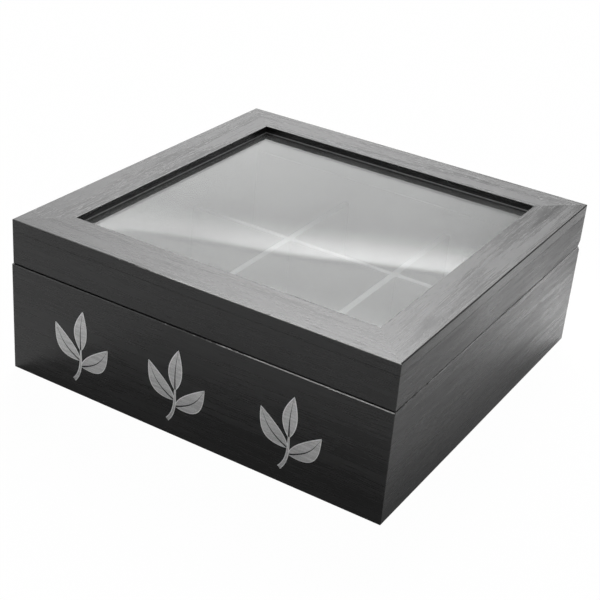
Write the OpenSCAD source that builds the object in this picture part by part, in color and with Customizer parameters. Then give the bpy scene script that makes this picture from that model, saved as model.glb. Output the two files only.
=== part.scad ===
// Tea bag organizer box: a square wooden box with nine cells, closed by a hinged lid with a glass
// window. Sizes are in millimetres. The origin is the centre of the base's underside, with +X to the
// right, +Y to the back, where the hinges are, and +Z up.

/* [Base] */
// Width of the base over its side walls
base_w = 240; // [200:1:300]
// Depth of the base from front to back
base_d = 240; // [200:1:300]
// Height of the base from its underside to its rim
base_h = 66; // [56:1:90]
// Thickness of the base walls
base_wall = 11; // [10:0.5:14]
// Radius of the base's outer arrises
base_round = 0.6; // [0.3:0.1:1.5]
// Thickness of the bottom panel
floor_t = 4; // [3:0.5:6]
// Height of the bottom panel's underside above the base's underside
floor_rise = 5; // [3:0.5:8]
// Depth of the wall groove that holds the bottom panel
floor_groove = 5; // [3:0.5:6]
// Slack between the bottom panel and its groove
floor_slack = 0.2; // [0.1:0.05:0.4]

/* [Dividers] */
// Thickness of the divider boards
divider_t = 4; // [3:0.5:6]
// Height of the divider boards above the bottom panel
divider_h = 40; // [30:1:44]
// Clearance at the ends of a divider and on each side of a cross slot
divider_slack = 0.15; // [0.1:0.05:0.3]

/* [Lid] */
// Height of the lid walls under the top frame
lid_wall_h = 19.5; // [16:0.5:30]
// Thickness of the lid walls
lid_wall = 11; // [10:0.5:14]
// Gap between the rims of the closed lid and the base
seam = 0.3; // [0.2:0.05:0.5]
// How far the lid stands back from the base's front face
lid_inset_y = 0.8; // [0:0.1:1.5]
// How far the lid stands back from each side face of the base
lid_inset_x = 0.3; // [0:0.1:1.5]
// Radius of the lid's outer arrises
lid_round = 0.6; // [0.3:0.1:1.5]
// Radius of the arrises that show as a fine line where the top frame meets the lid walls
joint_round = 0.2; // [0.1:0.05:0.4]

/* [Window] */
// Width of the mitred boards of the top frame
frame_w = 24.5; // [22:0.5:32]
// Thickness of the top frame's boards
frame_t = 7; // [6:0.5:10]
// Thickness of the glass
glass_t = 2.5; // [2:0.5:3]
// Width of the rebate that the glass lies in
rebate_w = 5; // [4:0.5:7]
// Clearance round the glass in its rebate
glass_slack = 0.3; // [0.2:0.05:0.6]
// Thickness of the beads that hold the glass from below
bead_t = 4; // [3:0.5:6]
// How far a bead laps under the edge of the glass
bead_lap = 3.5; // [3:0.5:4]
// Radius of the bead's lower inner edge
bead_round = 2.5; // [1:0.5:2.5]

/* [Hinges] */
// Length of a hinge's barrel
hinge_len = 30; // [24:1:45]
// Distance from a side face of the base to the near end of a hinge
hinge_end = 38; // [20:1:60]
// Diameter of the barrel
barrel_d = 4; // [3.6:0.2:4.6]
// Diameter of the hinge pin
pin_d = 2; // [1.6:0.2:2.4]
// Radial clearance of the pin in the barrel
pin_slack = 0.05; // [0.03:0.01:0.08]
// Thickness of the pin's heads
pin_head_t = 0.6; // [0.4:0.1:1]
// Thickness of a leaf
leaf_t = 1; // [0.8:0.1:1.4]
// Wood left between a leaf's edge and the inside of the wall
leaf_margin = 1; // [0.5:0.1:1.5]
// Number of barrel knuckles, an odd number
knuckles = 5; // [3:2:7]
// Gap between neighbouring knuckles, and round a hinge in its mortise
knuckle_gap = 0.2; // [0.15:0.05:0.4]
// Distance from the back face to the hinge axis
axis_inset = 3; // [2.6:0.1:3.4]
// Angle at which the bevelled back edges stop the lid
stop_angle = 100; // [90:1:110]
// Diameter of a screw's shank
screw_d = 2; // [1.6:0.1:2.2]
// Diameter of a screw's countersunk head
screw_head_d = 3.4; // [2.8:0.1:3.4]
// Length of a screw
screw_len = 10; // [7:0.5:13]
// Radial clearance of a screw in its hole
screw_slack = 0.05; // [0.03:0.01:0.1]
// Distance from the end of a leaf to its near screw
screw_end = 6; // [4:0.5:8]

/* [Hidden] */
$fn = 48;

BLACK_WOOD = [0.13, 0.13, 0.135];
INNER_WOOD = [0.17, 0.17, 0.175];
NICKEL = [0.72, 0.72, 0.74];
FRONT = 0;
RIGHT = 1;
BACK = 2;
LEFT = 3;
cells = 3;                                              // cells along each side
over = 1;                                               // how far a cut runs past the face it opens

cell_w = (base_w - 2 * base_wall - (cells - 1) * divider_t) / cells;
cell_d = (base_d - 2 * base_wall - (cells - 1) * divider_t) / cells;
floor_top = floor_rise + floor_t;

lid_w = base_w - 2 * lid_inset_x;
lid_d = base_d - lid_inset_y;
lid_y = lid_inset_y / 2;                            // the lid's back face is flush with the base's
lid_z = base_h + seam;
frame_z = lid_z + lid_wall_h;
rebate_h = glass_t + glass_slack / 3;                   // the pane rests on the beads
bead_w = frame_w - rebate_w - lid_wall + bead_lap;

hinge_y = base_d / 2 - axis_inset;
hinge_z = base_h + seam / 2;
hinge_x = base_w / 2 - hinge_end - hinge_len / 2;
leaf_w = min(base_wall, lid_wall) - axis_inset - leaf_margin;
knuckle_pitch = hinge_len / knuckles;
barrel_room = barrel_d / 2 + 1.5 * knuckle_gap;         // radius kept clear round the barrel
pin_head_d = (pin_d + barrel_d) / 2;
mortise_len = hinge_len + 2 * knuckle_gap;
relief_len = mortise_len + 2 * (pin_head_t + knuckle_gap);
screw_y = hinge_y - (barrel_room + leaf_w) / 2;
screw_pitch = hinge_len - 2 * screw_end;
screw_head_h = (screw_head_d - screw_d) / 2;            // a 90 degree countersink

// ---- shared shapes --------------------------------------------------------------------------------

// Puts a bar, drawn with its outer face on the X axis and its inner side towards +Y, on one side of
// a w by d rectangle.
module at_side(side, w, d)
    rotate(90 * side) translate([0, -(side % 2 == 0 ? d : w) / 2, 0]) children();

// Extrudes a 2D profile along X, with the profile's x along Y and its y along Z.
module along_x(length)
    rotate([90, 0, 90]) linear_extrude(length, center = true) children();

// Cylinder along X.
module rod_x(d, length)
    rotate([0, 90, 0]) cylinder(d = d, h = length, center = true);

// Footprint of a bar with mitred ends, from near to far behind an outer face of the given length.
module mitre_prism(length, near, far, height)
    linear_extrude(height)
        polygon([
            [near - length / 2, near], [length / 2 - near, near],
            [length / 2 - far, far], [far - length / 2, far],
        ]);

// Rectangle with round corners.
module round_rect(w, d, r) {
    square([w - 2 * r, d], center = true);
    square([w, d - 2 * r], center = true);
    for (x = [-1, 1], y = [-1, 1])
        translate([x * (w / 2 - r), y * (d / 2 - r)]) circle(r);
}

// What is cut off a square corner at the origin to round it. The material lies towards +X and +Y.
module corner_cut(r)
    difference() {
        translate([-over, -over]) square(r + over);
        translate([r, r]) circle(r);
    }

// One mitred wall or board of a w by d box, with round vertical corners. The child is its profile.
module mitred_side(side, w, d, near, far, height, r)
    intersection() {
        at_side(side, w, d)
            intersection() {
                mitre_prism(side % 2 == 0 ? w : d, near, far, height);
                along_x(side % 2 == 0 ? w : d) children();
            }
        linear_extrude(height) round_rect(w, d, r);
    }

// ---- base -----------------------------------------------------------------------------------------

module base_wall_profile()
    difference() {
        square([base_wall, base_h]);
        translate([base_wall - floor_groove, floor_rise])
            square([floor_groove + over, floor_t + floor_slack]);
        corner_cut(base_round);
        translate([0, base_h]) mirror([0, 1]) corner_cut(base_round / 2);
    }

module base_wall_bar(side)
    difference() {
        mitred_side(side, base_w, base_d, 0, base_wall, base_h, base_round) base_wall_profile();
        back_bevel(base_w);
    }

module base_back_wall()
    difference() {
        base_wall_bar(BACK);
        for (x = [-hinge_x, hinge_x]) translate([x, 0, 0]) base_mortise();
    }

module base_floor() {
    side_room = 2 * (base_wall - floor_groove + floor_slack);
    color(INNER_WOOD)
        translate([0, 0, floor_rise])
            linear_extrude(floor_t)
                square([base_w - side_room, base_d - side_room], center = true);
}

// ---- dividers -------------------------------------------------------------------------------------

// Distance of a divider's middle plane from the box's middle plane; side is -1 or 1.
function divider_at(cell, side) = side * (cell + divider_t) / 2;

// Board along X with half-depth slots for the two boards that cross it, open at its top.
module divider_board(length, crossing_at)
    difference() {
        translate([0, 0, divider_h / 2]) cube([length, divider_t, divider_h], center = true);
        for (side = [-1, 1])
            translate([side * crossing_at, 0, divider_h])
                cube([divider_t + 2 * divider_slack, divider_t + over, divider_h + divider_slack],
                     center = true);
    }

module cross_divider(side)
    color(INNER_WOOD)
        translate([0, divider_at(cell_d, side), floor_top])
            divider_board(base_w - 2 * base_wall - 2 * divider_slack, divider_at(cell_w, 1));

module long_divider(side)
    color(INNER_WOOD)
        translate([divider_at(cell_w, side), 0, floor_top + divider_h])
            mirror([0, 0, 1])
                rotate(90)
                    divider_board(base_d - 2 * base_wall - 2 * divider_slack, divider_at(cell_d, 1));

// ---- lid ------------------------------------------------------------------------------------------

module lid_place(z) translate([0, lid_y, z]) children();

module lid_wall_profile()
    difference() {
        square([lid_wall, lid_wall_h]);
        corner_cut(lid_round / 2);
        translate([0, lid_wall_h]) mirror([0, 1]) corner_cut(joint_round);
    }

module lid_wall_bar(side)
    difference() {
        lid_place(lid_z)
            mitred_side(side, lid_w, lid_d, 0, lid_wall, lid_wall_h, lid_round) lid_wall_profile();
        about_hinge_plane() back_bevel(lid_w);
    }

module lid_back_wall()
    difference() {
        lid_wall_bar(BACK);
        for (x = [-hinge_x, hinge_x])
            about_hinge_plane() translate([x, 0, 0]) base_mortise();
    }

// Board of the top frame, with a rebate under its inner edge for the glass.
module frame_profile()
    difference() {
        square([frame_w, frame_t]);
        corner_cut(joint_round);
        translate([frame_w - rebate_w, -over]) square([rebate_w + over, rebate_h + over]);
        translate([0, frame_t]) mirror([0, 1]) corner_cut(lid_round);
        translate([frame_w, frame_t]) rotate(180) corner_cut(lid_round / 2);
    }

module top_frame(side)
    color(BLACK_WOOD)
        lid_place(frame_z)
            mitred_side(side, lid_w, lid_d, 0, frame_w, frame_t, lid_round) frame_profile();

module glass_pane() {
    edge = frame_w - rebate_w + glass_slack;
    color([0.78, 0.82, 0.83, 0.35])
        lid_place(frame_z)
            linear_extrude(glass_t) square([lid_w - 2 * edge, lid_d - 2 * edge], center = true);
}

// Strip along the lid wall that laps under the glass.
module bead_profile()
    translate([lid_wall, 0])
        difference() {
            square([bead_w, bead_t]);
            translate([bead_w, 0]) mirror([1, 0]) corner_cut(bead_round);
        }

module bead(side)
    color(INNER_WOOD)
        lid_place(frame_z - bead_t)
            mitred_side(side, lid_w, lid_d, lid_wall, lid_wall + bead_w, bead_t, lid_round)
                bead_profile();

// ---- hinges ---------------------------------------------------------------------------------------

// Mirrors what belongs to the base half of a hinge into the lid half.
module about_hinge_plane()
    translate([0, 0, hinge_z]) mirror([0, 0, 1]) translate([0, 0, -hinge_z]) children();

// Wedge cut off the outer half of the back rim. Two such bevels meet when the lid stands open.
module back_bevel(length)
    translate([0, hinge_y, hinge_z])
        rotate([-stop_angle / 2, 0, 0])
            translate([-length / 2 - over, 0, -seam / 2])
                cube([length + 2 * over, 4 * axis_inset, 4 * axis_inset]);

// Recess in the base's back rim for one leaf and the barrel, with its screw holes.
module base_mortise() {
    translate([-mortise_len / 2, hinge_y - leaf_w - knuckle_gap, base_h - leaf_t])
        cube([mortise_len, leaf_w + knuckle_gap, leaf_t + over]);
    translate([0, hinge_y, hinge_z]) rod_x(2 * barrel_room, relief_len);
    screw_places()
        translate([0, 0, -screw_len - over]) cylinder(d = screw_d + 2 * screw_slack, h = screw_len + 2 * over);
}

// The places of the screws in the base leaf of a hinge at x = 0, at the height of the rim.
module screw_places()
    for (side = [-1, 1])
        translate([side * screw_pitch / 2, screw_y, base_h]) children();

// Leaf on the base side of a hinge at x = 0. It has the knuckles whose number has the given parity,
// counted from 0 at the left end, and is cut back round the other leaf's knuckles.
module leaf(parity)
    difference() {
        union() {
            translate([-hinge_len / 2, hinge_y - leaf_w, base_h - leaf_t])
                cube([hinge_len, leaf_w, leaf_t]);
            knuckle_row(parity, barrel_d, knuckle_pitch - knuckle_gap);
        }
        knuckle_row(1 - parity, 2 * barrel_room, knuckle_pitch + knuckle_gap);
        translate([0, hinge_y, hinge_z]) rod_x(pin_d + 2 * pin_slack, hinge_len + 2 * over);
        screw_places() {
            translate([0, 0, -leaf_t - over])
                cylinder(d = screw_d + 2 * screw_slack, h = leaf_t + 2 * over);
            translate([0, 0, -screw_head_h - screw_slack])
                cylinder(d1 = screw_d, d2 = screw_head_d + 2 * screw_slack, h = screw_head_h + screw_slack);
            cylinder(d = screw_head_d + 2 * screw_slack, h = over);
        }
    }

// Cylinders at every other knuckle along the hinge axis.
module knuckle_row(parity, d, length)
    for (i = [parity : 2 : knuckles - 1])
        translate([(i + 0.5) * knuckle_pitch - hinge_len / 2, hinge_y, hinge_z]) rod_x(d, length);

module hinge_pin()
    translate([0, hinge_y, hinge_z]) {
        rod_x(pin_d, hinge_len + pin_head_t);
        for (side = [-1, 1])
            translate([side * (hinge_len + pin_head_t + knuckle_gap) / 2, 0, 0])
                rod_x(pin_head_d, pin_head_t);
    }

module base_leaf(x) color(NICKEL) translate([x, 0, 0]) leaf(0);

module lid_leaf(x) color(NICKEL) about_hinge_plane() translate([x, 0, 0]) leaf(1);

module pin(x) color(NICKEL) translate([x, 0, 0]) hinge_pin();

// Countersunk wood screw that points down, with its head's face at z = 0 and a cross slot in it.
module wood_screw() {
    slot = screw_head_h / 2;
    tip = screw_d;
    difference() {
        union() {
            translate([0, 0, -screw_head_h]) cylinder(d1 = screw_d, d2 = screw_head_d, h = screw_head_h);
            translate([0, 0, tip - screw_len]) cylinder(d = screw_d, h = screw_len - tip - screw_head_h / 2);
            translate([0, 0, -screw_len]) cylinder(d1 = screw_d / 5, d2 = screw_d, h = tip);
        }
        for (turn = [0, 90])
            rotate(turn) cube([screw_d, slot, 2 * slot], center = true);
    }
}

module base_hinge_screws()
    color(NICKEL)
        for (x = [-hinge_x, hinge_x])
            translate([x, 0, 0]) screw_places() wood_screw();

// ---- nodes ----------------------------------------------------------------------------------------

color(BLACK_WOOD) base_wall_bar(FRONT);  // base_front_wall
color(BLACK_WOOD) base_wall_bar(RIGHT);  // base_right_wall
color(BLACK_WOOD) base_back_wall();
color(BLACK_WOOD) base_wall_bar(LEFT);  // base_left_wall
base_floor();
cross_divider(-1);  // cross_divider_front
cross_divider(1);  // cross_divider_rear
long_divider(-1);  // long_divider_left
long_divider(1);  // long_divider_right
color(BLACK_WOOD) lid_wall_bar(FRONT);  // lid_front_wall
color(BLACK_WOOD) lid_wall_bar(RIGHT);  // lid_right_wall
color(BLACK_WOOD) lid_back_wall();
color(BLACK_WOOD) lid_wall_bar(LEFT);  // lid_left_wall
top_frame(FRONT);  // top_frame_front
top_frame(RIGHT);  // top_frame_right
top_frame(BACK);  // top_frame_back
top_frame(LEFT);  // top_frame_left
glass_pane();
bead(FRONT);  // bead_front
bead(RIGHT);  // bead_right
bead(BACK);  // bead_back
bead(LEFT);  // bead_left
base_leaf(-hinge_x);  // hinge_left_base_leaf
lid_leaf(-hinge_x);  // hinge_left_lid_leaf
pin(-hinge_x);  // hinge_left_pin
base_leaf(hinge_x);  // hinge_right_base_leaf
lid_leaf(hinge_x);  // hinge_right_lid_leaf
pin(hinge_x);  // hinge_right_pin
base_hinge_screws();
about_hinge_plane() base_hinge_screws();  // lid_hinge_screws
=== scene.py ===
"""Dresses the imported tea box: stained wood with its grain, window glass, nickel hinges and silver sprigs."""
import math

import bmesh
import bpy
from mathutils import Matrix, Vector


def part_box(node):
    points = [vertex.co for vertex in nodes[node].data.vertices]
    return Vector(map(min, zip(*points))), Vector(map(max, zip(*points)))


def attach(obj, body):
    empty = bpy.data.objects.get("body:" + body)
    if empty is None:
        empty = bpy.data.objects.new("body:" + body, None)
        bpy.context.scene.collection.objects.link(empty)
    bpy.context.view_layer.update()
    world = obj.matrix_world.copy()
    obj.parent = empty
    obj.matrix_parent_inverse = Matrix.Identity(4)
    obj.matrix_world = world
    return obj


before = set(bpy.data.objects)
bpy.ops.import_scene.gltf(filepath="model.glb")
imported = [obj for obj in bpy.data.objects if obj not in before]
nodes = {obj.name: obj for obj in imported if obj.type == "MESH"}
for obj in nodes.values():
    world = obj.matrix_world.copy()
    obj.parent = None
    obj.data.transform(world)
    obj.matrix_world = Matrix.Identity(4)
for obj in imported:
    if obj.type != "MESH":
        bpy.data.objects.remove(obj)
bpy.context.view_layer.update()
MM = 0.001

# ---- camera ---------------------------------------------------------------------------------------

CAMERA_PLACE = Vector((0.33496, -0.59901, 0.39945))
CAMERA_TARGET = Vector((0.00835, -0.02268, 0.04777))
CAMERA_ROLL = math.radians(5.008)
CAMERA_LENS = 78.85         # mm
CAMERA_SENSOR = 36          # mm
CAMERA_NEAR = 10 * MM


def make_camera():
    """The camera at the photograph's place, a little rolled."""
    camera = bpy.data.objects.new("camera", bpy.data.cameras.new("camera"))
    camera.data.lens = CAMERA_LENS
    camera.data.sensor_width = CAMERA_SENSOR
    camera.data.clip_start = CAMERA_NEAR
    view = (CAMERA_TARGET - CAMERA_PLACE).to_track_quat("-Z", "Y").to_matrix()
    turn = Matrix.Rotation(CAMERA_ROLL, 3, "Z")
    camera.matrix_world = Matrix.Translation(CAMERA_PLACE) @ (view @ turn).to_4x4()
    bpy.context.scene.collection.objects.link(camera)
    bpy.context.scene.camera = camera


# ---- shader helpers -------------------------------------------------------------------------------


class Shader:
    """A new material or world node tree, with short calls that add and link nodes."""

    def __init__(self, owner):
        owner.use_nodes = True
        self.tree = owner.node_tree
        self.tree.nodes.clear()

    def add(self, kind, inputs=None, **settings):
        """Adds a node. An input is given by name or number, as a value or as the socket that feeds it."""
        node = self.tree.nodes.new("ShaderNode" + kind)
        for key, value in settings.items():
            setattr(node, key, value)
        for key, value in (inputs or {}).items():
            if isinstance(value, bpy.types.NodeSocket):
                self.tree.links.new(value, node.inputs[key])
            else:
                node.inputs[key].default_value = value
        return node

    def math(self, operation, a, b=0.0, clamp=False):
        """The result of a sum, or of another operation, on one or two numbers."""
        return self.add("Math", {0: a, 1: b}, operation=operation, use_clamp=clamp).outputs[0]

    def spread(self, value, low, high, to_low=0.0, to_high=1.0):
        """Maps low..high smoothly to to_low..to_high and holds it outside."""
        node = self.add("MapRange", {"Value": value, 1: low, 2: high, 3: to_low, 4: to_high},
                        interpolation_type="SMOOTHSTEP")
        return node.outputs[0]

    def mix(self, factor, a, b):
        """Mixes two colours."""
        node = self.add("Mix", {0: factor}, data_type="RGBA")
        for socket, value in zip((node.inputs[6], node.inputs[7]), (a, b)):
            if isinstance(value, bpy.types.NodeSocket):
                self.tree.links.new(value, socket)
            else:
                socket.default_value = (*value, 1)
        return node.outputs[2]

    def noise(self, vector, detail=2.0, roughness=0.5):
        """A noise with one wave in each unit of the vector."""
        node = self.add("TexNoise", {"Vector": vector, "Scale": 1.0, "Detail": detail,
                                     "Roughness": roughness})
        return node.outputs["Fac"]

    def stretched(self, vector, scale, shift=(0, 0, 0)):
        """The vector scaled along each axis, then shifted."""
        return self.add("Mapping", {"Vector": vector, "Location": shift, "Scale": scale}).outputs[0]

    def bump(self, height, strength, distance):
        """The normal on a relief that is as deep as the distance, at that strength."""
        node = self.add("Bump", {"Height": height, "Strength": strength, "Distance": distance})
        return node.outputs[0]


FINE_NOISE = {"detail": 3, "roughness": 0.6}


def new_material(name):
    """A new material, with the helper that fills its node tree."""
    material = bpy.data.materials.new(name)
    return material, Shader(material)


# ---- wood -----------------------------------------------------------------------------------------

OUTER_STAIN = (0.003, 0.003, 0.0031), (0.014, 0.014, 0.0143)       # darkest and lightest
INNER_STAIN = (0.010, 0.010, 0.0102), (0.032, 0.032, 0.0325)
OUTER_LACQUER = 0.28         # roughness
LID_SIDE_LACQUER = 0.31      # the right side of the lid is a little duller
INNER_LACQUER = 0.75
PORE_BLACK = (0.002, 0.002, 0.002)
# Pale colours of painted light on some edges: a painted highlight on the front, and painted light over the
# seam's shade on the right.
EDGE_HIGHLIGHT_PALE = (0.80, 0.80, 0.79)
SEAM_LIGHT_GREY = (0.33, 0.33, 0.33)
WOOD_BEND = 5 * MM           # how far the grain sways from side to side

# The figures of the wood: length along the grain, width across it, both in mm, and the noise's detail and
# roughness.
FIGURES = {
    "bands": (180, 13, 2, 0.5),
    "streaks": (80, 3.2, 3, 0.6),
    "fibres": (22, 0.8, 3, 0.6),
    "pores": (7, 0.55, 2, 0.6),
    "patches": (60, 60, 2, 0.5),
}
SWAY_FIGURE = (90, 40)       # length along the grain, width across it, both in mm
TONE_SHARE = {"bands": 0.35, "streaks": 0.35, "fibres": 0.3}
TONE_RANGE = (0.38, 0.62)    # the stain goes from dark to light over it
PORE_RANGE = (0.57, 0.70)    # a pore opens over it
PORE_SHADE = 0.8
PORE_ROUGHNESS = 0.10
NOISE_RANGE = (0.3, 0.7)     # nearly all of a noise lies in it
NOISE_MIDDLE = (0.5, 0.5, 0.5)
LACQUER_CHANGE = {"streaks": 0.05, "fibres": 0.04, "bands": 0.05, "patches": 0.03}   # of the roughness
RELIEF_SHARE = {"fibres": 0.6, "streaks": 0.6}
PORE_DEPTH = 0.7
WOOD_RELIEF = (0.30, 0.12 * MM)        # strength, and distance from low to high
LACQUER_IOR = 1.45

ARRIS_REACH = {"base": 0.55 * MM, "lid": 0.55 * MM, "top_frame_front": 0.6 * MM, "top_frame": 0.8 * MM}
ARRIS_DULLNESS = 0.55
# Painted shade: how far the top frame's outer edges are darkened towards black.
ARRIS_PAINTED_SHADE = 0.9
OUTER_SIDE = {"front": (1, 0), "back": (1, 1), "left": (0, 0), "right": (0, 1)}   # axis, which end of it
FACES_INWARD = -0.5          # a face looks inward where the outward part of its normal is below it
# Edges with pale painted light: a painted highlight on the front edges, and painted light over the seam's
# shade on the right side. For each: the axis, where the pale colour starts to show in spots, where it covers
# nearly all of the edge, and the colour.
PAINTED_EDGE_LIGHT = {
    "base_front_wall": ("X", -40 * MM, 85 * MM, EDGE_HIGHLIGHT_PALE),
    "base_right_wall": ("Y", -180 * MM, 0 * MM, SEAM_LIGHT_GREY),
    "lid_right_wall": ("Y", -180 * MM, 0 * MM, SEAM_LIGHT_GREY),
    "top_frame_front": ("X", -75 * MM, 20 * MM, EDGE_HIGHLIGHT_PALE),
}
SPOT_LENGTH = 6 * MM
SPOT_WIDTH = 2 * MM
SPOT_SPREAD = (-0.18, 0.30)           # added to the noise where the stretch starts, and where it ends
SPOT_EDGE = (0.45, 0.68, 0.10, 1.0)   # from, to, how much painted light there is at each


def on_arris(s, node, point, along):
    """1 on the outer edge of a board that lies on the seam or on the top, fading out over the reach."""
    axis, end = next(place for side, place in OUTER_SIDE.items() if side in node)
    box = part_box(node)
    across, top = box[end][axis], box[0 if node.startswith("lid") else 1][2]
    offset, kept = ((0, -across, -top), (0, 1, 1)) if along == "X" else ((-across, 0, -top), (1, 0, 1))
    off = s.add("VectorMath", {0: point, 1: offset}, operation="ADD").outputs[0]
    off = s.add("VectorMath", {0: off, 1: kept}, operation="MULTIPLY").outputs[0]
    off = s.add("VectorMath", {0: off}, operation="LENGTH").outputs["Value"]
    reach = next(reach for start, reach in ARRIS_REACH.items() if node.startswith(start))
    return s.spread(off, reach, reach / 2)


def painted_light_along(s, point, axis, start, end):
    """How much painted light an edge gets: in spots from start on, nearly all from end on."""
    along = s.add("SeparateXYZ", {0: point}).outputs[axis]
    size = [1 / (SPOT_LENGTH if name == axis else SPOT_WIDTH) for name in "XYZ"]
    light_spots = s.noise(s.stretched(point, size), **FINE_NOISE)
    return s.spread(s.math("ADD", light_spots, s.spread(along, start, end, *SPOT_SPREAD)), *SPOT_EDGE)


def turned_inward(s, node):
    """1 on the faces of a wall that look into the box."""
    axis, end = next(place for side, place in OUTER_SIDE.items() if side in node)
    outward = Vector()
    outward[axis] = 1 if end else -1
    normal = s.add("TexCoord").outputs["Normal"]
    facing = s.add("VectorMath", {0: normal, 1: outward}, operation="DOT_PRODUCT").outputs["Value"]
    return s.math("LESS_THAN", facing, FACES_INWARD)


def grain_scale(along, length, width):
    """Frequencies of a figure that is that long along the grain and that wide across it, in mm."""
    across = 1 / (width * MM)
    down = 1 / (length * MM)
    return (down, across, across) if along == "X" else (across, down, across)


def wood_figures(s, point, along, shift):
    """The figures of the wood by name, on a grain that sways."""
    sway = s.add("TexNoise", {"Vector": s.stretched(point, grain_scale(along, *SWAY_FIGURE), shift),
                              "Scale": 1.0, "Detail": 1.0}).outputs["Color"]
    sway = s.add("VectorMath", {0: sway, 1: NOISE_MIDDLE}, operation="SUBTRACT").outputs[0]
    sway = s.add("VectorMath", {0: sway, "Scale": WOOD_BEND}, operation="SCALE").outputs[0]
    place = s.add("VectorMath", {0: point, 1: sway}, operation="ADD").outputs[0]
    figures = {}
    for name, (length, width, detail, roughness) in FIGURES.items():
        figure = s.stretched(place, grain_scale(along, length, width), shift)
        figures[name] = s.noise(figure, detail=detail, roughness=roughness)
    return figures


def sum_of(s, figures, shares):
    """The figures added up, each by its share."""
    total, *others = (s.math("MULTIPLY", figures[name], share) for name, share in shares.items())
    for other in others:
        total = s.math("ADD", total, other)
    return total


def wood_lacquer(s, figures, pore, lacquer):
    """The lacquer's roughness, which changes a little with the figures and is rougher in the pores."""
    roughness = s.math("MULTIPLY", pore, PORE_ROUGHNESS)
    for name, change in LACQUER_CHANGE.items():
        roughness = s.math("ADD", roughness, s.spread(figures[name], *NOISE_RANGE, -change, change))
    return s.math("ADD", roughness, lacquer, clamp=True)


def stained_wood(node, along, shift, inner):
    """Open-pored wood, stained black under a satin lacquer, with its grain along the X or Y axis.

    inner is 1 for a piece that is all inside the box, where the wood is paler and matt. A wall is so on its
    inner faces. The outer edges of the top frame are dull and darkened by painted shade. Some edges are pale
    with painted light: a highlight on the front edges, and light over the seam's shade on the right side.
    """
    material, s = new_material("wood_" + node)
    point = s.add("TexCoord").outputs["Object"]
    figures = wood_figures(s, point, along, shift)
    pore = s.spread(figures["pores"], *PORE_RANGE)
    inside = turned_inward(s, node) if node.endswith("_wall") else inner

    low, high = (s.mix(inside, *pair) for pair in zip(OUTER_STAIN, INNER_STAIN))
    colour = s.mix(s.spread(sum_of(s, figures, TONE_SHARE), *TONE_RANGE), low, high)
    colour = s.mix(s.math("MULTIPLY", pore, PORE_SHADE), colour, PORE_BLACK)
    outer = LID_SIDE_LACQUER if node == "lid_right_wall" else OUTER_LACQUER
    lacquer = s.mix(inside, (outer,) * 3, (INNER_LACQUER,) * 3)
    roughness = wood_lacquer(s, figures, pore, lacquer)

    in_frame = node.startswith("top_frame")
    if in_frame or node in PAINTED_EDGE_LIGHT:
        arris = on_arris(s, node, point, along)
    if in_frame:
        roughness = s.math("ADD", roughness, s.math("MULTIPLY", arris, ARRIS_DULLNESS), clamp=True)
        # Painted shade: the outer edges of the top frame are darkened.
        colour = s.mix(s.math("MULTIPLY", arris, ARRIS_PAINTED_SHADE), colour, PORE_BLACK)
    if node in PAINTED_EDGE_LIGHT:
        *stretch, light_colour = PAINTED_EDGE_LIGHT[node]
        # Painted light: the edge turns pale, as a painted highlight on the front and over the seam's shade on
        # the right.
        colour = s.mix(s.math("MULTIPLY", arris, painted_light_along(s, point, *stretch)), colour, light_colour)

    relief = s.math("SUBTRACT", sum_of(s, figures, RELIEF_SHARE), s.math("MULTIPLY", pore, PORE_DEPTH))
    skin = s.add("BsdfPrincipled", {"Base Color": colour, "Roughness": roughness,
                                    "Normal": s.bump(relief, *WOOD_RELIEF), "IOR": LACQUER_IOR})
    s.add("OutputMaterial", {"Surface": skin.outputs[0]})
    return material


# ---- glass, metal and silver ----------------------------------------------------------------------


GLASS_TINT = (0.96, 0.975, 0.97, 1)
GLASS_SHADOW = (0.9, 0.92, 0.91, 1)
GLASS_IOR = 1.5
CLARITY = (0.982, 0.970)     # share of the light that the film of dust lets through, where thin and thick
NICKEL = (0.56, 0.55, 0.52), (0.68, 0.67, 0.64)
NICKEL_ROUGHNESS = (0.22, 0.42)
NICKEL_RELIEF = (0.2, 0.02 * MM)
FOIL_ROUGHNESS = (0.38, 0.52)
FOIL_TONE_SHARE = {"fibres": 0.6, "speckle": 0.4}
FOIL_TONE_RANGE = (0.35, 0.65)
FOIL_RELIEF = (0.25, 0.05 * MM)

# Frequencies of the noises, per metre.
SMEARS = (25, 9, 25)
SCRATCHES = (150, 4000, 4000)
SMUDGES = (120, 120, 120)
FOIL_FIBRES = (60, 700, 700)
FOIL_SPECKLE = (1400, 1400, 1400)
SEAL_BEADS = (300, 300, 300)


def window_glass():
    """Clear float glass with a thin, uneven film of dust. Lamps reach what is behind it."""
    material, s = new_material("window_glass")
    place = s.add("TexCoord").outputs["Object"]
    smears = s.noise(s.stretched(place, SMEARS), **FINE_NOISE)
    clarity = s.spread(smears, *NOISE_RANGE, *CLARITY)
    pane = s.add("BsdfPrincipled", {"Base Color": GLASS_TINT, "Roughness": 0.0,
                                    "IOR": GLASS_IOR, "Transmission Weight": clarity})
    clear = s.add("BsdfTransparent", {"Color": GLASS_SHADOW})
    path = s.add("LightPath")
    both = s.add("MixShader", {0: path.outputs["Is Shadow Ray"], 1: pane.outputs[0], 2: clear.outputs[0]})
    s.add("OutputMaterial", {"Surface": both.outputs[0]})
    return material


def hinge_nickel():
    """Nickel-plated steel with fine scratches along the hinge."""
    material, s = new_material("hinge_nickel")
    place = s.add("TexCoord").outputs["Object"]
    scratches = s.noise(s.stretched(place, SCRATCHES), **FINE_NOISE)
    smudges = s.noise(s.stretched(place, SMUDGES))
    colour = s.mix(smudges, *NICKEL)
    roughness = s.spread(scratches, *NOISE_RANGE, *NICKEL_ROUGHNESS)
    skin = s.add("BsdfPrincipled", {"Base Color": colour, "Roughness": roughness, "Metallic": 1.0,
                                    "Normal": s.bump(scratches, *NICKEL_RELIEF)})
    s.add("OutputMaterial", {"Surface": skin.outputs[0]})
    return material


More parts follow.
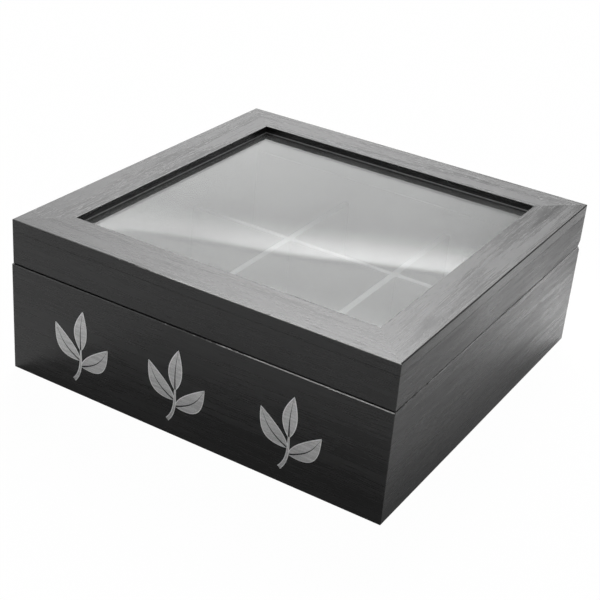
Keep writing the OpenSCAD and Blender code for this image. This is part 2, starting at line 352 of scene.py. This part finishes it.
def silver_foil(name, low, high, metal):
    """Matt silver stamped on the wood. Its grey goes from low to high with the fibres that show through."""
    material, s = new_material(name)
    place = s.add("TexCoord").outputs["Object"]
    figures = {"fibres": s.noise(s.stretched(place, FOIL_FIBRES), **FINE_NOISE),
               "speckle": s.noise(s.stretched(place, FOIL_SPECKLE))}
    tone = sum_of(s, figures, FOIL_TONE_SHARE)
    colour = s.mix(s.spread(tone, *FOIL_TONE_RANGE), (low, low, low), (high, high, high))
    roughness = s.spread(figures["speckle"], *NOISE_RANGE, *FOIL_ROUGHNESS)
    skin = s.add("BsdfPrincipled", {"Base Color": colour, "Roughness": roughness, "Metallic": metal,
                                    "Normal": s.bump(tone, *FOIL_RELIEF)})
    s.add("OutputMaterial", {"Surface": skin.outputs[0]})
    return material


# ---- dressing the CAD nodes -----------------------------------------------------------------------


def dress(node, material):
    """Puts the material on all of the node."""
    slots = nodes[node].material_slots
    if not slots:
        nodes[node].data.materials.append(material)
    for slot in slots:
        slot.material = material


GRAIN_STEP = (7.3, 11.9, 5.7)          # from one board's piece of grain to the next


def dress_wood():
    """Gives each board its own piece of grain, along its length."""
    runs_x = ("front", "back", "cross", "floor")
    boards = [n for n in nodes if not n.startswith(("hinge", "glass")) and "screws" not in n]
    for number, node in enumerate(sorted(boards)):
        along = "X" if any(word in node for word in runs_x) else "Y"
        inner = int("divider" in node or "floor" in node or "bead" in node)
        shift = [step * number for step in GRAIN_STEP]
        dress(node, stained_wood(node, along, shift, inner))


def dress_metal():
    nickel = hinge_nickel()
    for node in nodes:
        if node.startswith("hinge") or "screws" in node:
            dress(node, nickel)


# ---- silver sprigs on the front -------------------------------------------------------------------

SPRIG_PLACES = (-71 * MM, -7 * MM, 64 * MM)
SPRIG_BOTTOM = 9 * MM
SPRIG_HEIGHT = 44.5 * MM
LEAF_FOIL = 0.03 * MM
STEM_FOIL = 0.045 * MM       # the stem lies over the ends of the leaves
RIM = 0.5 * MM
FOIL_SILVER = ("silver_foil", 0.50, 0.72, 0.35)        # name, darkest and lightest grey, share of metal
# The rim's pale silver is a painted highlight along the edges of each leaf and of the stem.
RIM_HIGHLIGHT_SILVER = ("silver_rim_highlight", 0.90, 0.96, 0.0)
CURVE_STEPS = 24
NO_GAP = 1e-6
MERGE = 0.001 * MM

# In a frame that is 1 high: the four points of the stem's curve, with its width at the foot and at the top,
# and the root, tip, bow, width and width of the mid vein of each leaf.
STEM = [(-0.10, 0.0), (0.02, 0.14), (0.0, 0.30), (0.0, 0.45)], 0.055, 0.026
LEAVES = (
    ((0.0, 0.44), (0.03, 1.0), 0.02, 0.20, 0.022),
    ((-0.005, 0.30), (-0.40, 0.72), 0.07, 0.24, 0.024),
    ((0.005, 0.22), (0.42, 0.60), -0.07, 0.25, 0.024),
)
LEAF_BELLY = 0.85            # below 1, a leaf is widest nearer to its root than to its tip
LEAF_FULLNESS = 0.9          # below 1, its outline is rounder


def leaf_halves(root, tip, bow, width, vein):
    """Outlines of the two halves of a pointed leaf, on each side of its bowed mid vein."""
    root, tip = Vector(root), Vector(tip)
    chord = tip - root
    side = Vector((-chord.y, chord.x)).normalized()
    halves = []
    for sign in (1, -1):
        inner, outer = [], []
        for i in range(CURVE_STEPS + 1):
            t = i / CURVE_STEPS
            middle = root + chord * t + side * bow * math.sin(math.pi * t)
            half = width / 2 * math.sin(math.pi * t ** LEAF_BELLY) ** LEAF_FULLNESS
            slit = min(vein / 2 * (1 - t), half)
            inner.append(middle + side * sign * slit)
            outer.append(middle + side * sign * half)
        halves.append((inner, outer))
    return halves


def stroke(points, width_from, width_to):
    """The two sides of a tapered stroke along a Bezier curve of four points."""
    a, b, c, d = (Vector(p) for p in points)
    left, right = [], []
    for i in range(CURVE_STEPS + 1):
        t = i / CURVE_STEPS
        u = 1 - t
        place = a * u ** 3 + b * 3 * u * u * t + c * 3 * u * t * t + d * t ** 3
        slope = (b - a) * u * u + (c - b) * 2 * u * t + (d - c) * t * t
        side = Vector((-slope.y, slope.x)).normalized() * (width_from + (width_to - width_from) * t) / 2
        left.append(place + side)
        right.append(place - side)
    return left, right


def inset(line, towards):
    """The line moved by the width of the rim, straight towards the matching points of the other line.

    No point moves further than halfway there.
    """
    moved = []
    for a, b in zip(line, towards):
        gap = (b - a).length
        moved.append(a.lerp(b, min(0.5, RIM / SPRIG_HEIGHT / gap)) if gap > NO_GAP else a.copy())
    return moved


def sprig_strips():
    """The strips of three leaves on a stem, in a frame that is 1 high.

    A strip has its thickness, its lines of points from one side to the other, and which bands between the
    lines are rim.
    """
    left, right = stroke(*STEM)
    strips = [(STEM_FOIL, [left, inset(left, right), inset(right, left), right], (0, 2))]
    for leaf in LEAVES:
        for inner, outer in leaf_halves(*leaf):
            strips.append((LEAF_FOIL, [inner, inset(outer, inner), outer], (1,)))
    return strips


def object_of(name, mesh, materials):
    """A new object made of the bmesh, which is freed."""
    bmesh.ops.recalc_face_normals(mesh, faces=mesh.faces)
    data = bpy.data.meshes.new(name)
    mesh.to_mesh(data)
    mesh.free()
    for material in materials:
        data.materials.append(material)
    made = bpy.data.objects.new(name, data)
    bpy.context.scene.collection.objects.link(made)
    return made


def make_sprig(name, x, materials):
    """A sprig of foil on the front wall, its stem's top at x."""
    mesh = bmesh.new()
    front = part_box("base_front_wall")[0][1]

    def rows(line, thickness):
        """The points of a line on the wood and on the face of the foil."""
        places = [(x + p.x * SPRIG_HEIGHT, SPRIG_BOTTOM + p.y * SPRIG_HEIGHT) for p in line]
        return [[mesh.verts.new((across, y, up)) for across, up in places]
                for y in (front, front - thickness)]

    def band(a, b, rim):
        """Faces between two rows of points, of the rim's foil or the other."""
        for i in range(len(a) - 1):
            mesh.faces.new((a[i], a[i + 1], b[i + 1], b[i])).material_index = int(rim)

    for thickness, lines, rims in sprig_strips():
        made = [rows(line, thickness) for line in lines]
        for number, (a, b) in enumerate(zip(made, made[1:])):
            band(a[1], b[1], number in rims)
        band(made[0][0], made[0][1], 0 in rims)
        band(made[-1][0], made[-1][1], len(lines) - 2 in rims)
    bmesh.ops.remove_doubles(mesh, verts=mesh.verts, dist=MERGE)
    bmesh.ops.dissolve_degenerate(mesh, dist=MERGE, edges=mesh.edges)
    sprig = object_of(name, mesh, materials)
    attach(sprig, "base")


def make_sprigs():
    # The second foil, on the rims, is pale silver as a painted highlight.
    foils = silver_foil(*FOIL_SILVER), silver_foil(*RIM_HIGHLIGHT_SILVER)
    for name, x in zip(("sprig_left", "sprig_middle", "sprig_right"), SPRIG_PLACES):
        make_sprig(name, x, foils)


# ---- seal round the glass -------------------------------------------------------------------------

SEAL = 0.5 * MM
SEAL_WAIST = 0.3 * SEAL      # how far the middle of the fillet stands off the glass and off the frame
# Painted highlight: pale grey that stands in for the bright line along the edge of the glass.
SEAL_HIGHLIGHT_GREY = (0.22, 0.22, 0.22), (0.42, 0.42, 0.42)
SEAL_ROUGHNESS = (0.15, 0.3)
SEAL_RELIEF = (0.3, 0.05 * MM)


def seal_with_painted_highlight():
    """Clear sealant, painted pale grey as a highlight along the edge of the glass."""
    material, s = new_material("seal_with_painted_highlight")
    place = s.add("TexCoord").outputs["Object"]
    beads = s.noise(s.stretched(place, SEAL_BEADS))
    colour = s.mix(beads, *SEAL_HIGHLIGHT_GREY)
    roughness = s.spread(beads, *NOISE_RANGE, *SEAL_ROUGHNESS)
    skin = s.add("BsdfPrincipled", {"Base Color": colour, "Roughness": roughness,
                                    "Normal": s.bump(beads, *SEAL_RELIEF)})
    s.add("OutputMaterial", {"Surface": skin.outputs[0]})
    return material


def make_seal():
    """A thin fillet of sealant in the corner between the glass and the frame, all round the window."""
    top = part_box("glass_pane")[1][2]
    left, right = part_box("top_frame_left")[1][0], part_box("top_frame_right")[0][0]
    front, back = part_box("top_frame_front")[1][1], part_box("top_frame_back")[0][1]
    mesh = bmesh.new()
    rings = []
    for inward, height in ((0, SEAL), (SEAL_WAIST, SEAL_WAIST), (SEAL, 0)):
        rings.append([mesh.verts.new((x, y, top + height)) for x, y in (
            (left + inward, front + inward), (right - inward, front + inward),
            (right - inward, back - inward), (left + inward, back - inward))])
    for low, high in zip(rings, rings[1:]):
        for i in range(4):
            mesh.faces.new((low[i], low[(i + 1) % 4], high[(i + 1) % 4], high[i]))
    seal = object_of("glass_seal", mesh, [seal_with_painted_highlight()])
    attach(seal, "lid")


# ---- stage ----------------------------------------------------------------------------------------

FLOOR_SIZE = 12
FLOOR_GREY = (0.74, 0.74, 0.74, 1)
FLOOR_WHITE = 0.985          # share of plain white where the camera looks. The rest keeps the shadow.
MIRRORED_WHITE = 0.15        # share of plain white where a surface mirrors the floor
WHITE = (1, 1, 1, 1)

# Width in m, power in W, spread in degrees, place and target of the two lamps.
LAMPS = {
    "floor_lamp": (0.30, 0.19, 40, (0.34, 0.30, 0.80), (0.28, 0.20, 0.0)),
    "corner_lamp": (0.08, 0.030, 12, (0.20, 0.40, 0.55), (0.135, 0.165, 0.0)),
}

WALL_SIDE = Vector((-0.951, 0.309, 0))       # where the light wall stands, seen from the box
KEY_SIDE = Vector((-0.402, 0.916, 0))        # where the brighter ceiling panel above it is centred
STRIP_SIDE = Vector((-0.26, 0.966, 0))       # where the bright strip on the wall is centred
RIGHT_SIDE = Vector((1, 0, 0))

# Stretches over which the light changes, as spread() takes them: from, to, and the strength at each, which
# is left out where it is 0 and 1. A HEIGHT is the sine of an elevation. An ACROSS is the cosine of the angle
# to a side, seen from above.
ROOM_HEIGHT = (0.0, 0.9, 0.05, 0.16)
WALL_ACROSS = (0.50, 0.69, 0.0, 1.50)
WALL_HEIGHT = (0.75, 0.6)
CORNER_ACROSS = (0.70, 0.78, 0.0, 0.2)
CORNER_HEIGHT = (0.43, 0.38)
KEY_HEIGHT = (0.464, 0.664, 0.0, 16.5)
KEY_TOP_HEIGHT = (0.97, 0.85)
KEY_ACROSS = (0.92, 1.0)
KEY_SLOPE = 0.095            # rise of the panel's lower edge from left to right
KEY_SLOPE_START = 0.4
STRIP_LINE = (0.92, 0.975, 0.426, 0.437)     # height of the strip's sharp upper edge, by ACROSS
STRIP_BELOW = (-0.028, 0.0)                  # heights above that edge
STRIP_OVER = (0.0045, 0.0)
STRIP_ACROSS = (0.935, 0.975, 0.75, 1.8)
ABOVE_HEIGHT = (0.0, 0.01)
ABOVE_ACROSS = (0.90, 0.96, 0.12, 0.30)
STRIP_END_ACROSS = (0.5, 0.85)
OVER_ONE = 1.001             # keeps the level part of a direction above 0 straight up and down


def in_sight(s):
    """Two flags: where the camera looks, straight or through glass, and where a surface mirrors."""
    path = s.add("LightPath").outputs
    through = s.math("SUBTRACT", path["Is Transmission Ray"], path["Glossy Depth"])
    through = s.math("SUBTRACT", through, path["Diffuse Depth"], clamp=True)
    return s.math("MAXIMUM", path["Is Camera Ray"], through), path["Is Glossy Ray"]


def make_floor():
    """A pale floor that shows white, with a faint shadow."""
    bpy.ops.mesh.primitive_plane_add(size=FLOOR_SIZE)
    floor = bpy.context.object
    floor.name = "floor"
    material, s = new_material("floor")
    matt = s.add("BsdfDiffuse", {"Color": FLOOR_GREY})
    white = s.add("Emission", {"Color": WHITE, "Strength": 1.0})
    looked_at, mirrored = in_sight(s)
    looked_at = s.math("MULTIPLY", looked_at, FLOOR_WHITE)
    mirrored = s.math("MULTIPLY", mirrored, MIRRORED_WHITE)
    both = s.add("MixShader", {0: s.math("ADD", looked_at, mirrored, clamp=True),
                               1: matt.outputs[0], 2: white.outputs[0]})
    s.add("OutputMaterial", {"Surface": both.outputs[0]})
    floor.data.materials.append(material)


def make_lamps():
    """Two lamps that light the floor behind the box to its right, which the right side mirrors."""
    for name, (width, power, spread, place, target) in LAMPS.items():
        lamp = bpy.data.objects.new(name, bpy.data.lights.new(name, "AREA"))
        lamp.data.shape = "DISK"
        lamp.data.size = width
        lamp.data.energy = power
        lamp.data.spread = math.radians(spread)
        turn = (Vector(target) - Vector(place)).to_track_quat("-Z", "Y").to_matrix().to_4x4()
        lamp.matrix_world = Matrix.Translation(place) @ turn
        bpy.context.scene.collection.objects.link(lamp)


def wall_light(s, height, towards):
    """The light wall behind the box to its left, with more light low on it."""
    across = towards(WALL_SIDE)
    wall = s.math("MULTIPLY", s.spread(across, *WALL_ACROSS), s.spread(height, *WALL_HEIGHT))
    corner = s.math("MULTIPLY", s.spread(across, *CORNER_ACROSS), s.spread(height, *CORNER_HEIGHT))
    return s.math("ADD", wall, corner)


def key_light(s, height, towards):
    """The bright ceiling panel, above the directions that the window mirrors."""
    slope = s.math("MULTIPLY", s.math("ADD", towards(RIGHT_SIDE), KEY_SLOPE_START), KEY_SLOPE)
    key = s.spread(s.math("SUBTRACT", height, slope), *KEY_HEIGHT)
    key = s.math("MULTIPLY", key, s.spread(height, *KEY_TOP_HEIGHT))
    return s.math("MULTIPLY", key, s.spread(towards(KEY_SIDE), *KEY_ACROSS))


def strip_light(s, height, towards):
    """The strip that the window mirrors: soft below, sharp above, with a dim level over it."""
    across = towards(STRIP_SIDE)
    above = s.math("SUBTRACT", height, s.spread(across, *STRIP_LINE))
    rise = s.spread(above, *STRIP_BELOW)
    strip = s.math("MULTIPLY", s.math("MULTIPLY", rise, rise), s.spread(above, *STRIP_OVER))
    strip = s.math("MULTIPLY", strip, s.spread(across, *STRIP_ACROSS))
    level = s.math("MULTIPLY", s.spread(above, *ABOVE_HEIGHT), s.spread(across, *ABOVE_ACROSS))
    return s.math("MULTIPLY", s.math("ADD", strip, level), s.spread(across, *STRIP_END_ACROSS))


def make_world():
    """Soft studio light: a dim room, a light wall with a bright strip, and a ceiling panel above them.

    The camera sees plain white instead, and a surface mirrors at least that white.
    """
    world = bpy.data.worlds.new("studio")
    bpy.context.scene.world = world
    s = Shader(world)
    direction = s.add("TexCoord").outputs["Generated"]
    height = s.add("SeparateXYZ", {0: direction}).outputs["Z"]
    level = s.math("SQRT", s.math("SUBTRACT", OVER_ONE, s.math("MULTIPLY", height, height)))

    def towards(side):
        """Cosine of the angle, seen from above, between the direction and that side."""
        dot = s.add("VectorMath", {0: direction, 1: side}, operation="DOT_PRODUCT").outputs["Value"]
        return s.math("DIVIDE", dot, level)

    light = s.spread(height, *ROOM_HEIGHT)
    for part in (wall_light, key_light, strip_light):
        light = s.math("ADD", light, part(s, height, towards))
    looked_at, mirrored = in_sight(s)
    studio = s.add("Background", {"Color": WHITE, "Strength": s.math("MAXIMUM", light, mirrored)})
    white = s.add("Background", {"Color": WHITE, "Strength": 1.0})
    both = s.add("MixShader", {0: looked_at, 1: studio.outputs[0], 2: white.outputs[0]})
    s.add("OutputWorld", {"Surface": both.outputs[0]})


# ---- the scene ------------------------------------------------------------------------------------

make_camera()
make_floor()
make_world()
make_lamps()
dress_wood()
dress_metal()
dress("glass_pane", window_glass())
make_sprigs()
make_seal()

bpy.context.scene.view_settings.view_transform = "Standard"
bpy.context.view_layer.update()
